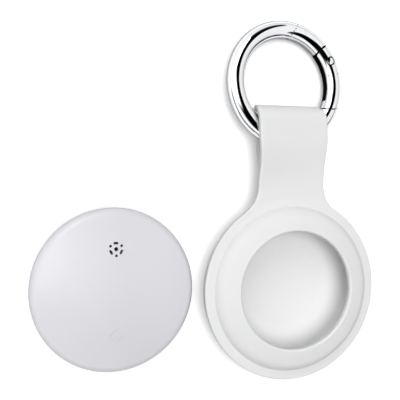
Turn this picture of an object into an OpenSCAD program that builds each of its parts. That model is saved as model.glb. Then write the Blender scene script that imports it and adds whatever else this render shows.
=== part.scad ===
// Round item-finder tag lying beside its folded silicone loop holder and spring-gate ring.
// Millimetres, +Z up. Everything lies on the plane z = 0, faces up; +Y points to the ring.

/* [Tag] */
// outer diameter of the tag
tag_d = 32; // [28:0.5:40]
// thickness of the tag over both domes
tag_h = 8; // [7.5:0.1:10]
// radius of the shallow dome of both faces
dome_r = 50; // [40:1:90]
// wall of the front shell
shell_wall = 1.1; // [0.9:0.05:1.4]
// how far the front shell goes down when pressed
press_travel = 0.3; // [0.2:0.05:0.4]
// tag centre in X
tag_x = -37.1; // [-45:0.1:-36]
// tag centre in Y
tag_y = 1.4; // [-5:0.1:5]

/* [Sound holes] */
// distance of the sound holes from the tag centre
hole_y = 8.3; // [6:0.1:10]
// radius of the middle hole
hole_mid_r = 0.4; // [0.3:0.05:0.6]
// half width of the three slots
slot_r = 0.24; // [0.2:0.02:0.4]
// radius of the three small round holes
hole_small_r = 0.26; // [0.2:0.02:0.4]
// radius of the circle that slots and small holes lie on
hole_ring_r = 1.12; // [0.9:0.02:1.5]

/* [Battery] */
// coin cell diameter
cell_d = 20; // [16:1:24]
// coin cell thickness
cell_h = 3.2; // [2:0.1:3.2]
// diameter of the battery door
door_d = 22.5; // [22:0.1:24]
// door twist from locked to released, degrees
door_twist = 25; // [15:1:30]

/* [Holder] */
// radius of the flat flange of the front lobe
lobe_r = 19; // [18.5:0.1:21]
// radius of the flat flange of the back lobe
back_lobe_r = 18.7; // [18.5:0.1:21]
// height of the plane where the two halves meet
mid_z = 5.2; // [5:0.05:6]
// silicone wall over the tag
skin = 1.25; // [1:0.05:1.6]
// radius of the round window in the front half
window_r = 12.1; // [10:0.1:13]
// half width of the front strap
strap_hw = 7.3; // [6:0.1:9]
// half width of the back strap
back_strap_hw = 6.7; // [5:0.1:9]
// place of the strap's middle in X
strap_x = -0.2; // [-1:0.05:1]
// half width of the strap at the fold, above the ring
fold_hw = 7.8; // [6:0.1:9]
// half width of the strap at the fold, below the ring
under_hw = 5.6; // [4:0.1:8]
// radius of the fillet between strap and lobe
neck_r = 6.5; // [4:0.5:9]

/* [Ring] */
// radius of the ring's centreline
ring_r = 11.4; // [9:0.1:14]
// radius of the round ring bar
wire_r = 1.85; // [1.5:0.05:2.2]
// ring centre in X and Y
ring_x = -0.45; // [-2:0.05:2]
ring_y = 42.47; // [40:0.01:45]
// how far the ring slopes down towards its far end, degrees
ring_nod = 5.2; // [0:0.1:8]
// how far the ring leans down to the right, degrees
ring_lean = 4; // [0:0.1:8]
// place of the gate's pivot pin round the ring, degrees
pin_a = 26.5; // [15:1:30]
// distance of the pin outside the centreline
pin_out = 0.1; // [0:0.05:0.7]
// gate length beyond the pin, up to the seam
seam_r = 3.2; // [2.5:0.1:4]
// gate length below the pin, down to its tip
tip_r = 10.5; // [8:0.1:12]
// gap between the gate and the ring
gate_gap = 0.25; // [0.2:0.05:0.4]

/* [Hidden] */
$fn = 96;
eps = 0.01;
part_z = tag_h / 2;
rear_h = part_z + 0.6;
part_gap = press_travel + 0.06;
ring_z = wire_r + 0.03
  + ring_r * sqrt(pow(cos(ring_nod) * sin(ring_lean), 2) + pow(sin(ring_nod), 2));
pin_x = (ring_r + pin_out) * cos(pin_a);
pin_y = (ring_r + pin_out) * sin(pin_a);
fold_in = wire_r + 0.17;
fold_out = fold_in + skin;
fold_top = -4.4;
fold_y = fold_top - fold_out;
board_z = 4.35;
board_h = 0.65;
board_r = 11.3;
white = [0.93, 0.93, 0.94];
silicone = [0.9, 0.9, 0.9];
steel = [0.8, 0.81, 0.83];
black = [0.08, 0.08, 0.09];

// Edge radius that joins a dome of radius bend smoothly to the rim.
function edge_r(rim, h, bend) =
  (bend * bend - (bend - h) * (bend - h) - rim * rim) / (2 * (bend - rim));

// Half profile of a dome: rim radius, height above its own base, dome radius.
module dome_profile(rim, h, bend) {
  e = edge_r(rim, h, bend);
  xt = (rim - e) * bend / (bend - e);
  intersection() {
    union() {
      intersection() {
        square([xt, h]);
        translate([0, h - bend]) circle(bend, $fn = 360);
      }
      translate([rim - e, 0]) circle(e);
    }
    square([rim + 1, h + 1]);
  }
}

module dome_up(rim, h, bend, z) {
  translate([0, 0, z])
    rotate_extrude()
      dome_profile(rim, h, bend);
}

module dome_down(rim, h, bend, z) {
  translate([0, 0, z])
    mirror([0, 0, 1])
      rotate_extrude()
        dome_profile(rim, h, bend);
}

module pipe(r_out, r_in, z0, z1) {
  translate([0, 0, z0])
    difference() {
      cylinder(r = r_out, h = z1 - z0);
      translate([0, 0, -1]) cylinder(r = r_in, h = z1 - z0 + 2);
    }
}

module disc(r, z0, z1) {
  translate([0, 0, z0]) cylinder(r = r, h = z1 - z0);
}

module block(x, y, z, at) {
  translate([at[0] - x / 2, at[1] - y / 2, at[2]]) cube([x, y, z]);
}

module at_tag() {
  translate([tag_x, tag_y, 0]) children();
}

// ---- tag ----

module slot(len, r, h) {
  translate([-len / 2, 0, 0]) cylinder(r = r, h = h);
  translate([len / 2, 0, 0]) cylinder(r = r, h = h);
  translate([-len / 2, -r, 0]) cube([len, 2 * r, h]);
}

module sound_holes() {
  translate([0, hole_y, part_z]) {
    cylinder(r = hole_mid_r, h = part_z);
    for (a = [90, 210, 330]) {
      rotate([0, 0, a])
        translate([hole_ring_r, 0, 0])
          rotate([0, 0, 90])
            slot(0.5, slot_r, part_z);
    }
    for (a = [30, 150, 270]) {
      rotate([0, 0, a])
        translate([hole_ring_r + 0.1, 0, 0])
          cylinder(r = hole_small_r, h = part_z);
    }
  }
}

// Plain engraved mark over the press point: a small square outline with a dot.
module press_mark() {
  depth = 0.12;
  difference() {
    translate([0, -8.1, part_z])
      rotate([0, 0, 45]) {
        difference() {
          translate([-1.05, -1.05, 0]) cube([2.1, 2.1, part_z]);
          translate([-0.87, -0.87, -1]) cube([1.74, 1.74, part_z + 2]);
        }
        cylinder(r = 0.25, h = part_z);
      }
    dome_up(tag_d / 2 - depth, part_z - depth, dome_r - depth, part_z - eps);
  }
}

module top_shell() {
  color(white)
    at_tag()
      union() {
        difference() {
          dome_up(tag_d / 2, part_z, dome_r, part_z);
          dome_up(tag_d / 2 - shell_wall, part_z - shell_wall, dome_r - shell_wall, part_z);
          disc(tag_d / 2 - shell_wall, part_z - 1, part_z + eps);
          sound_holes();
          press_mark();
        }
        // skirt that slides inside the rear housing
        pipe(tag_d / 2 - shell_wall - 0.4, tag_d / 2 - 2.05, part_z - 0.8, part_z + 1);
        // nub over the switch
        disc(1, 5.75, tag_h - shell_wall + 0.05);
      }
}

module sound_mesh() {
  color(black)
    at_tag()
      intersection() {
        translate([0, hole_y, part_z]) cylinder(r = 2.1, h = part_z);
        difference() {
          dome_up(tag_d / 2 - shell_wall - 0.02, part_z - shell_wall - 0.02,
            dome_r - shell_wall - 0.02, part_z);
          dome_up(tag_d / 2 - shell_wall - 0.2, part_z - shell_wall - 0.2,
            dome_r - shell_wall - 0.2, part_z - eps);
        }
      }
}

module rear_body() {
  intersection() {
    dome_down(tag_d / 2, rear_h, dome_r, part_z);
    disc(tag_d, 0, part_z - part_gap);
  }
}

module door_tabs(r_in, r_out, z0, z1, wide) {
  for (a = [90, 210, 330]) {
    rotate([0, 0, a - wide / 2])
      rotate_extrude(angle = wide)
        translate([r_in, z0]) square([r_out - r_in, z1 - z0]);
  }
}

module rear_housing() {
  color(white)
    at_tag()
      difference() {
        rear_body();
        dome_down(tag_d / 2 - 1, rear_h - 1, dome_r - 1, part_z + eps);
        disc(door_d / 2 + 0.15, -1, part_z);
        // mouths that let the door's tabs through once it is turned
        rotate([0, 0, door_twist + 5])
          door_tabs(door_d / 2 - 0.5, door_d / 2 + 1.1, -1, 2.4, 28);
      }
}

// Half section of the door: plate, boss, cell recess and seal groove.
module door_profile() {
  r = door_d / 2;
  difference() {
    union() {
      intersection() {
        translate([0, part_z])
          mirror([0, 1])
            dome_profile(tag_d / 2, rear_h, dome_r);
        square([r, 1.35]);
      }
      translate([0, 1]) square([r - 0.05, 1.6]);
    }
    translate([0, 0.75]) square([cell_d / 2 + 0.2, 4]);
    translate([r - 0.35, 0.95]) square([1, 0.35]);
  }
}

module battery_door() {
  color(white)
    at_tag()
      difference() {
        union() {
          rotate_extrude() door_profile();
          door_tabs(door_d / 2 - 0.5, door_d / 2 + 0.85, 2.05, 2.5, 24);
        }
        // coin slot
        translate([-4.5, -0.6, -1]) cube([9, 1.2, 1.35]);
      }
}

module door_seal() {
  color(black)
    at_tag()
      pipe(door_d / 2 + 0.05, door_d / 2 - 0.33, 0.98, 1.27);
}

module chassis() {
  color([0.75, 0.76, 0.78])
    at_tag() {
      difference() {
        pipe(13.7, cell_d / 2 + 0.3, 2.8, board_z - 0.04);
        // notches for the side contact
        rotate([0, 0, 200]) block(1.6, 3.2, 3, [10.9, 0, 2.5]);
      }
      pipe(12.95, 12.4, 2.2, 2.8 + eps);
    }
}

module coin_cell() {
  color(steel)
    at_tag() {
      disc(cell_d / 2, 0.9, 0.9 + cell_h - 0.35);
      disc(cell_d / 2 - 1.4, 0.9, 0.9 + cell_h);
    }
}

module cell_contact_plus() {
  color([0.85, 0.72, 0.4])
    at_tag()
      rotate([0, 0, 200]) {
        block(0.2, 2.6, 1.45, [cell_d / 2 + 0.2, 0, board_z - 1.5]);
        block(1, 2.6, 0.15, [cell_d / 2 + 0.6, 0, board_z - 0.2]);
      }
}

module cell_contact_minus() {
  color([0.85, 0.72, 0.4])
    at_tag() {
      block(2.6, 13, 0.1, [0, 0, board_z - 0.13]);
      block(7, 2, 0.1, [0, 0, board_z - 0.13]);
    }
}

module circuit_board() {
  color([0.06, 0.3, 0.17])
    at_tag()
      difference() {
        disc(board_r, board_z, board_z + board_h);
        for (a = [45, 225]) {
          rotate([0, 0, a]) translate([board_r, 0, 0]) cylinder(r = 0.8, h = 8);
        }
      }
}

module radio_can() {
  color(steel)
    at_tag()
      block(4.6, 4.2, 0.6, [-4.9, -3, board_z + board_h + 0.01]);
}

module board_parts() {
  color(black)
    at_tag() {
      z = board_z + board_h + 0.01;
      block(3, 3, 0.55, [5, -3.6, z]);
      block(2, 1.2, 0.45, [4.6, -0.4, z]);
      for (i = [0:4]) {
        block(0.5, 1, 0.4, [-2 + i, -8, z]);
      }
      for (i = [0:2]) {
        block(1, 0.5, 0.4, [7.6, -1 + 1.1 * i, z]);
      }
    }
}

module antenna() {
  color([0.85, 0.72, 0.4])
    at_tag()
      translate([0, 0, board_z + board_h + 0.01])
        rotate([0, 0, 60])
          rotate_extrude(angle = 150)
            translate([10.1, 0]) square([0.6, 0.1]);
}

module press_switch() {
  color(steel)
    at_tag()
      translate([0, 0, board_z + board_h]) {
        disc(1.9, 0.02, 0.2);
        disc(1.3, 0.2 - eps, 0.34);
      }
}

module piezo_sounder() {
  color([0.8, 0.66, 0.3])
    at_tag()
      translate([0, 6.2, board_z + board_h]) {
        disc(3.9, 0.08, 0.3);
        disc(2.7, 0.3 - eps, 0.4);
      }
}

// ---- holder ----

// Seen from above: lobe, neck fillets and strap up to y = top, changing to its end width over a last run.
module holder_outline(lobe, hw, top, end_hw, run) {
  fx = hw + neck_r;
  fy = sqrt(pow(lobe + neck_r, 2) - fx * fx);
  circle(lobe);
  translate([strap_x, 0]) {
    difference() {
      translate([-fx, 8]) square([2 * fx, fy - 8]);
      translate([-fx, fy]) circle(neck_r);
      translate([fx, fy]) circle(neck_r);
      difference() {
        translate([-fx - 1, 0]) square([2 * fx + 2, fy - 0.5 * neck_r]);
        translate([-hw - 4, 0]) square([2 * hw + 8, fy]);
      }
    }
    polygon([
      [-hw, fy - 1],
      [hw, fy - 1],
      [hw, top - run],
      [end_hw, top],
      [-end_hw, top],
      [-hw, top - run]
    ]);
  }
}

// Smooth step from 0 to 1 between a and b.
function ease(y, a, b) =
  y <= a ? 0 : y >= b ? 1 : (1 - cos(180 * (y - a) / (b - a))) / 2;

// Under side of the front strap and upper side of the back strap, along Y.
function front_low(y) = mid_z + 0.06 + (ring_near_z + fold_in - mid_z - 0.06) * ease(y, 21, 30);
function back_high(y) = mid_z - 0.06 + (ring_near_z - fold_in - mid_z + 0.06) * ease(y, 23.5, 30);
ring_near_z = ring_z + ring_r * sin(ring_nod);
strap_end = ring_y - ring_r - 0.5;

// Layer with side view given along Y, cut out of the outline seen from above.
module strap_layer(ys, z_low, z_high, lobe, hw, end_hw, run) {
  intersection() {
    translate([0, 0, -2])
      linear_extrude(mid_z * 3)
        holder_outline(lobe, hw, ys[12], end_hw, run);
    rotate([90, 0, 90])
      translate([0, 0, -lobe_r - 1])
        linear_extrude(2 * lobe_r + 2)
          polygon(concat(
            [for (i = [0:12]) [ys[i], z_low[i]]],
            [for (i = [12:-1:0]) [ys[i], z_high[i]]]
          ));
  }
}

module front_half() {
  ys = [for (i = [0:12]) 18 + (strap_end - 18) * i / 12];
  flange = 1.12;
  color(silicone)
    difference() {
      union() {
        translate([0, 0, mid_z + 0.06])
          linear_extrude(flange)
            intersection() {
              holder_outline(lobe_r, strap_hw, strap_end, fold_hw, 5);
              translate([-lobe_r - 1, -lobe_r - 1]) square([2 * lobe_r + 2, lobe_r + 19.2]);
            }
        dome_up(tag_d / 2 + skin, part_z + skin, dome_r + skin, mid_z + 0.06);
        strap_layer(ys, [for (y = ys) front_low(y)], [for (y = ys) front_low(y) + flange],
          lobe_r, strap_hw, fold_hw, 5);
      }
      dome_up(tag_d / 2 + 0.1, part_z + 0.1, dome_r + 0.1, mid_z);
      translate([0, 0, mid_z]) cylinder(r = window_r, h = 10);
    }
}

module back_half() {
  ys = [for (i = [0:12]) 18 + (strap_end + 0.25 - 18) * i / 12];
  flange = 1.12;
  color(silicone)
    difference() {
      union() {
        translate([0, 0, mid_z - 0.06 - flange])
          linear_extrude(flange)
            intersection() {
              holder_outline(back_lobe_r, back_strap_hw, strap_end, under_hw, 8.5);
              translate([-lobe_r - 1, -lobe_r - 1]) square([2 * lobe_r + 2, lobe_r + 19.2]);
            }
        intersection() {
          dome_down(tag_d / 2 + skin, rear_h + skin, dome_r + skin, mid_z - 0.06);
          disc(back_lobe_r, 0, mid_z);
        }
        strap_layer(ys, [for (y = ys) back_high(y) - flange], [for (y = ys) back_high(y)],
          back_lobe_r, back_strap_hw, under_hw, 8.5);
      }
      intersection() {
        dome_down(tag_d / 2 + 0.1, rear_h + 0.1, dome_r + 0.1, mid_z);
        disc(lobe_r, skin - 0.05, mid_z + 1);
      }
    }
}

module at_ring() {
  translate([ring_x, ring_y, ring_z])
    rotate([-ring_nod, 0, 0])
      rotate([0, ring_lean, 0])
        children();
}

// U-shaped end of the strap, round the ring, narrower below; the ring presses itself a seat in it.
module strap_fold() {
  middle = strap_x - ring_x;
  left = middle - fold_hw;
  right = middle + fold_hw;
  low = -ring_r - 0.45;
  color(silicone)
    at_ring()
      difference() {
        intersection() {
          rotate([90, 0, 90])
            translate([0, 0, left])
              linear_extrude(right - left)
                difference() {
                  union() {
                    translate([fold_y, 0]) circle(fold_out);
                    translate([low, -fold_out]) square([fold_y - low, 2 * fold_out]);
                  }
                  translate([fold_y, 0]) circle(fold_in);
                  translate([low - 1, -fold_in]) square([fold_y - low + 1, 2 * fold_in]);
                }
          // narrower lower layer
          translate([middle, 0, 0])
            rotate([90, 0, 0])
              linear_extrude(20)
                polygon([
                  [-fold_hw, 4],
                  [-fold_hw, 0],
                  [-under_hw, -fold_in],
                  [-under_hw, -4],
                  [under_hw, -4],
                  [under_hw, -fold_in],
                  [fold_hw, 0],
                  [fold_hw, 4]
                ]);
          // rounded corners, seen from above
          translate([0, 0, -5])
            linear_extrude(10)
              union() {
                translate([left, low]) square([right - left, fold_top - 2.2 - low]);
                translate([left + 1, low]) square([right - left - 3.2, fold_top - low]);
                translate([left + 1, fold_top - 1]) circle(1);
                translate([left, low]) square([2, fold_top - 1 - low]);
                translate([right - 2.2, fold_top - 2.2]) circle(2.2);
              }
        }
        rotate_extrude() translate([ring_r, 0]) circle(wire_r + 0.12);
      }
}

// ---- ring ----

module bar_arc(a0, a1, r) {
  rotate([0, 0, a0])
    rotate_extrude(angle = a1 - a0)
      translate([ring_r, 0]) circle(r);
}

// Everything the gate takes up, grown by g at the seam and at the tip.
module gate_zone(g) {
  translate([pin_x, pin_y, -4]) {
    cylinder(r = seam_r + g, h = 8);
    intersection() {
      cylinder(r = tip_r + g, h = 8);
      rotate([0, 0, pin_a]) translate([-8, -20, -1]) cube([16, 20, 10]);
    }
  }
}

module tongue(r, half) {
  intersection() {
    union() {
      translate([pin_x, pin_y, -half]) cylinder(r = r, h = 2 * half);
      rotate([0, 0, pin_a])
        translate([ring_r + pin_out - r, 0, -half])
          cube([2 * r, seam_r + 1.4, 2 * half]);
    }
    bar_arc(pin_a - 12, pin_a + 24, wire_r - 0.12);
  }
}

module ring_body() {
  color(steel)
    at_ring()
      difference() {
        union() {
          difference() {
            bar_arc(pin_a + 8, 360 + pin_a - 46, wire_r);
            gate_zone(gate_gap);
          }
          tongue(1.2, 0.5);
        }
        translate([pin_x, pin_y, -4]) cylinder(r = 0.55, h = 8);
      }
}

module ring_gate() {
  color(steel)
    at_ring()
      difference() {
        intersection() {
          bar_arc(pin_a - 60, pin_a + 20, wire_r);
          gate_zone(0);
        }
        // open slot round the tongue
        translate([pin_x, pin_y, -0.75]) cylinder(r = 1.5, h = 1.5);
        rotate([0, 0, pin_a]) translate([ring_r - 3, 0, -0.75]) cube([6, 6, 1.5]);
        // channel along the inside, for the spring
        rotate([0, 0, pin_a - 46])
          rotate_extrude(angle = 46)
            translate([ring_r - 3, -0.75]) square([3.4, 1.5]);
        translate([pin_x, pin_y, -4]) cylinder(r = 0.9, h = 8);
      }
}

module gate_pin() {
  top = sqrt(wire_r * wire_r - pow(pin_out + 0.45, 2));
  color([0.7, 0.71, 0.73])
    at_ring()
      translate([pin_x, pin_y, 0]) {
        cylinder(r = 0.5, h = 2 * top, center = true);
        for (s = [0, 1]) {
          mirror([0, 0, s]) translate([0, 0, 0.8]) cylinder(r = 0.88, h = top - 0.8);
        }
      }
}

module gate_spring() {
  color([0.6, 0.6, 0.62])
    at_ring()
      rotate([0, 0, pin_a - 42])
        rotate_extrude(angle = 33)
          translate([ring_r + 0.1, -0.45]) square([0.25, 0.9]);
}

top_shell();
sound_mesh();
rear_housing();
battery_door();
door_seal();
chassis();
coin_cell();
cell_contact_plus();
cell_contact_minus();
circuit_board();
radio_can();
board_parts();
antenna();
press_switch();
piezo_sounder();
front_half();
back_half();
strap_fold();
ring_body();
ring_gate();
gate_pin();
gate_spring();
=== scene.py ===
"""Looks of a round item-finder tag lying beside its silicone loop holder and spring-gate ring."""

import math

import bmesh
import bpy
from bpy.props import FloatProperty, FloatVectorProperty, IntProperty, PointerProperty
from mathutils import Matrix, Vector


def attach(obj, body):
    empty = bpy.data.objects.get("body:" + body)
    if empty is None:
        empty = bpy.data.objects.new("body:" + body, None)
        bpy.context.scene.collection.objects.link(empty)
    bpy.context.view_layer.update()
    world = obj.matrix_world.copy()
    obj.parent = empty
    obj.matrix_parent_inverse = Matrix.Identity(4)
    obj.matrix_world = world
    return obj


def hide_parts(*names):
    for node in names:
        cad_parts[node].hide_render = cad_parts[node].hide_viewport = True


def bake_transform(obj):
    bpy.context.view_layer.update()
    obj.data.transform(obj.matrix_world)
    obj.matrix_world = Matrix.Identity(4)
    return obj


bl_info = {
    "name": "Tag and loop holder",
    "version": (1, 0, 0),
    "blender": (4, 5, 0),
    "location": "View3D > Sidebar > Tag",
    "description": "Builds the smooth shells, the silicone skin and the polished ring on the packed frame",
    "category": "Object",
}

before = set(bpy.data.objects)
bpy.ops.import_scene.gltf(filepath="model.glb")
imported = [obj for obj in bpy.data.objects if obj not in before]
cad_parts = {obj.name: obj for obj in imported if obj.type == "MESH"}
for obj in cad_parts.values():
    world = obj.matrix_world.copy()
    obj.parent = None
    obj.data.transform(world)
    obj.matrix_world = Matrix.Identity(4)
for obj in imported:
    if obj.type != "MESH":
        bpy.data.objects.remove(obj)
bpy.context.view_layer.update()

# All lengths below are in millimetres, and radii that start at the pin are measured from its axis.
MM = 0.001
TAG_X, TAG_Y, PART_Z = -37.1, 1.4, 4.0
MID_Z = 5.2
FLANGE = 1.12
HALF_GAP = 0.06
PILLOW_OUT, BEND_OUT = 17.25, 51.25
PILLOW_IN, BEND_IN = 16.1, 50.1
LOBE_ROOM = 17.6
NECK = 6.5
RING_AT = (-0.45, 42.47, 3.1818)
RING_NOD, RING_LEAN = math.radians(5.2), math.radians(4.0)
RING_RADIUS, RING_ROOM = 11.4, 1.95
STRAP_X = -0.2
FOLD_BACK, FOLD_REACH, FOLD_INSIDE = 4.4, 3.27, 2.02
PIN_DEG, PIN_OUT = 26.5, 0.1
SEAM_IN, SEAM_OUT, TIP_IN, TIP_OUT, PIN_ROOM = 3.1, 3.5, 10.15, 10.4, 0.97


# ---------------------------------------------------------------- settings


class TagSettings(bpy.types.PropertyGroup):
    """Sizes and colour of the tag's shells."""

    radius: FloatProperty(
        name="Radius", description="Outer radius of the tag, in millimetres", default=16.0, min=10.0,
    )
    dome: FloatProperty(
        name="Dome radius",
        description="Radius of the shallow dome of both faces, in millimetres",
        default=50.0,
        min=30.0,
    )
    wall: FloatProperty(
        name="Wall", description="Wall of the front shell, in millimetres", default=1.1, min=0.5,
    )
    steps: IntProperty(name="Steps", description="Faces round the tag", default=224, min=48)
    colour: FloatVectorProperty(
        name="Colour",
        description="Colour of the moulded shells",
        subtype="COLOR",
        size=3,
        min=0,
        max=1,
        default=(0.645, 0.64, 0.67),
    )


class HolderSettings(bpy.types.PropertyGroup):
    """Sizes and colour of the silicone holder."""

    lobe: FloatProperty(
        name="Front lobe radius",
        description="Radius of the front flange, in millimetres",
        default=19.0,
        min=12.0,
    )
    back_lobe: FloatProperty(
        name="Back lobe radius",
        description="Radius of the back flange, in millimetres",
        default=18.7,
        min=12.0,
    )
    window: FloatProperty(
        name="Window radius",
        description="Radius of the round window, in millimetres",
        default=12.1,
        min=6.0,
    )
    strap: FloatProperty(
        name="Strap half width",
        description="Half width of the front strap, in millimetres",
        default=7.3,
        min=3.0,
    )
    back_strap: FloatProperty(
        name="Back strap half width",
        description="Half width of the back strap, in millimetres",
        default=6.7,
        min=3.0,
    )
    fold: FloatProperty(
        name="Fold half width",
        description="Half width of the strap above the ring, in millimetres",
        default=7.8,
        min=3.0,
    )
    under: FloatProperty(
        name="Lower half width",
        description="Half width of the strap below the ring, in millimetres",
        default=5.6,
        min=3.0,
    )
    colour: FloatVectorProperty(
        name="Colour",
        description="Colour of the silicone",
        subtype="COLOR",
        size=3,
        min=0,
        max=1,
        default=(0.70, 0.70, 0.70),
    )


class RingSettings(bpy.types.PropertyGroup):
    """Sizes and finish of the spring-gate ring."""

    radius: FloatProperty(
        name="Ring radius",
        description="Radius of the bar's centreline, in millimetres",
        default=11.4,
        min=6.0,
    )
    bar: FloatProperty(
        name="Bar radius", description="Radius of the round bar, in millimetres", default=1.85, min=0.5,
    )
    polish: FloatProperty(
        name="Roughness",
        description="Roughness of the polished metal",
        subtype="FACTOR",
        default=0.045,
        min=0,
        max=1,
    )


class StageSettings(bpy.types.PropertyGroup):
    """Floor, light and camera."""

    floor: FloatVectorProperty(
        name="Floor",
        description="Colour of the floor",
        subtype="COLOR",
        size=3,
        min=0,
        max=1,
        default=(0.97, 0.97, 0.97),
    )
    sky: FloatProperty(
        name="Surrounding light", description="Strength of the light from all around", default=0.37, min=0,
    )
    key: FloatProperty(
        name="Key light", description="Strength of the soft light at the back left", default=0.75, min=0,
    )
    top: FloatProperty(
        name="Top light", description="Strength of the soft light overhead", default=2.1, min=0,
    )
    lens: FloatProperty(
        name="Lens", description="Focal length of the camera, in millimetres", default=63.58, min=10,
    )


# ---------------------------------------------------------------- modelling helpers


def edge_radius(rim, height, bend):
    """Radius that joins a dome to its rim smoothly."""
    return (bend * bend - (bend - height) ** 2 - rim * rim) / (2 * (bend - rim))


def dome_line(rim, height, bend, r_from, r_to=None, z_to=0.0, cap_steps=30, edge_steps=18):
    """Points (r, z) over a dome from r_from outwards, down to z_to on its edge, or only to r_to."""
    e = edge_radius(rim, height, bend)
    tangent = (rim - e) * bend / (bend - e)
    last = min(tangent, r_to) if r_to else tangent
    points = []
    for i in range(cap_steps + 1):
        r = r_from + (last - r_from) * i / cap_steps
        points.append((r, height - bend + math.sqrt(bend * bend - r * r)))
    if r_to and r_to <= tangent:
        return points
    a0 = math.acos((tangent - rim + e) / e)
    a1 = math.asin(max(-1.0, min(1.0, z_to / e)))
    for i in range(1, edge_steps + 1):
        a = a0 + (a1 - a0) * i / edge_steps
        points.append((rim - e + e * math.cos(a), e * math.sin(a)))
    return points


def raised(points, z, flip=False):
    """The same points, turned over if asked, at height z."""
    return [(r, z + (-h if flip else h)) for r, h in points]


def corner(r, z, radius, start, sweep, steps=4):
    """Points of a rounded corner with its centre at (r, z), angles in degrees."""
    out = []
    for i in range(steps + 1):
        a = math.radians(start + sweep * i / steps)
        out.append((r + radius * math.cos(a), z + radius * math.sin(a)))
    return out


def spin_line(bm, points, steps, closed=False, angle=math.tau, start=0.0):
    """Turns a line of (r, z) points about Z. A part turn of a closed line gets end caps."""
    verts = [bm.verts.new((r, 0, z)) for r, z in points]
    edges = [bm.edges.new((a, b)) for a, b in zip(verts, verts[1:])]
    if closed:
        edges.append(bm.edges.new((verts[-1], verts[0])))
    if start:
        bmesh.ops.rotate(bm, verts=verts, cent=(0, 0, 0), matrix=Matrix.Rotation(start, 3, "Z"))
    full = angle > math.tau - 1e-6
    bmesh.ops.spin(
        bm, geom=verts + edges, cent=(0, 0, 0), axis=(0, 0, 1), angle=angle, steps=steps, use_merge=full,
    )
    bmesh.ops.remove_doubles(bm, verts=bm.verts[:], dist=1e-5)
    if not full:
        open_edges = [e for e in bm.edges if e.is_boundary]
        bmesh.ops.holes_fill(bm, edges=open_edges, sides=0)
    bmesh.ops.recalc_face_normals(bm, faces=bm.faces[:])


def circle_points(radius, steps, r=0.0, z=0.0):
    """Points (r, z) round a circle with its centre at (r, z)."""
    turns = [math.tau * i / steps for i in range(steps)]
    return [(r + radius * math.cos(a), z + radius * math.sin(a)) for a in turns]


def rod(bm, radius, z0, z1, at=(0, 0), steps=32):
    """Upright closed cylinder."""
    ret = bmesh.ops.create_cone(
        bm, cap_ends=True, segments=steps, radius1=radius, radius2=radius, depth=z1 - z0,
    )
    bmesh.ops.translate(bm, verts=ret["verts"], vec=(at[0], at[1], (z0 + z1) / 2))
    return ret["verts"]


def brick(bm, low, high):
    """Closed box between two corners."""
    ret = bmesh.ops.create_cube(bm, size=1)
    size = [h - l for l, h in zip(low, high)]
    mid = [(h + l) / 2 for l, h in zip(low, high)]
    bmesh.ops.scale(bm, verts=ret["verts"], vec=size)
    bmesh.ops.translate(bm, verts=ret["verts"], vec=mid)
    return ret["verts"]


def merge_in(bm, part):
    """Adds the mesh in part to bm, and frees part."""
    mesh = bpy.data.meshes.new("part")
    part.to_mesh(mesh)
    part.free()
    bm.from_mesh(mesh)
    bpy.data.meshes.remove(mesh)


def to_object(bm, name, place=None):
    """Makes an object, in metres, from a bmesh in millimetres."""
    if place is not None:
        bmesh.ops.transform(bm, matrix=place, verts=bm.verts[:])
    bmesh.ops.scale(bm, verts=bm.verts[:], vec=(MM, MM, MM))
    mesh = bpy.data.meshes.new(name)
    bm.to_mesh(mesh)
    bm.free()
    obj = bpy.data.objects.new(name, mesh)
    bpy.context.scene.collection.objects.link(obj)
    return obj


def carve(obj, tool, how="DIFFERENCE"):
    """Cuts obj with the closed mesh of tool, which is then removed."""
    mod = obj.modifiers.new("carve", "BOOLEAN")
    mod.operation = how
    mod.solver = "EXACT"
    mod.object = tool
    bpy.context.view_layer.update()
    graph = bpy.context.evaluated_depsgraph_get()
    mesh = bpy.data.meshes.new_from_object(obj.evaluated_get(graph))
    obj.modifiers.clear()
    old = obj.data
    obj.data = mesh
    bpy.data.meshes.remove(old)
    bpy.data.objects.remove(tool)
    return obj


def join_into(obj, *others):
    """Adds the meshes of the others to obj, as separate closed shells."""
    bm = bmesh.new()
    bm.from_mesh(obj.data)
    for other in others:
        bm.from_mesh(other.data)
        bpy.data.objects.remove(other)
    bm.to_mesh(obj.data)
    bm.free()
    return obj


def finish_piece(obj, material, sharp=32.0):
    """Smooth shading with crisp edges where faces turn more than the given angle."""
    bm = bmesh.new()
    bm.from_mesh(obj.data)
    bmesh.ops.remove_doubles(bm, verts=bm.verts[:], dist=2e-7)
    limit = math.radians(sharp)
    for face in bm.faces:
        face.smooth = True
    for edge in bm.edges:
        edge.smooth = len(edge.link_faces) == 2 and edge.calc_face_angle(0.0) < limit
    bm.to_mesh(obj.data)
    bm.free()
    obj.data.materials.clear()
    obj.data.materials.append(material)
    return obj


def paint_shade_on_cuts(obj, is_cut):
    """Gives the cut faces, chosen by their middle in the ring's own frame, a near-black metal: painted shade
    in the seams, the gate's channel and round the pin.
    """
    back = ring_place().inverted()
    obj.data.materials.append(material("Painted cut shade"))
    for face in obj.data.polygons:
        spot = back @ (face.center / MM)
        if is_cut(spot):
            face.material_index = 1


def ring_place():
    """Where the ring lies: tilted on the table, and leaning a little."""
    return (
        Matrix.Translation(RING_AT)
        @ Matrix.Rotation(-RING_NOD, 4, "X")
        @ Matrix.Rotation(RING_LEAN, 4, "Y")
    )


def tag_place():
    """Where the tag lies."""
    return Matrix.Translation((TAG_X, TAG_Y, 0))


# ---------------------------------------------------------------- materials


def new_material(name):
    """A material with its nodes, links and main shader."""
    mat = bpy.data.materials.new(name)
    mat.use_nodes = True
    nodes, links = mat.node_tree.nodes, mat.node_tree.links
    return mat, nodes, links, nodes["Principled BSDF"]


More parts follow.
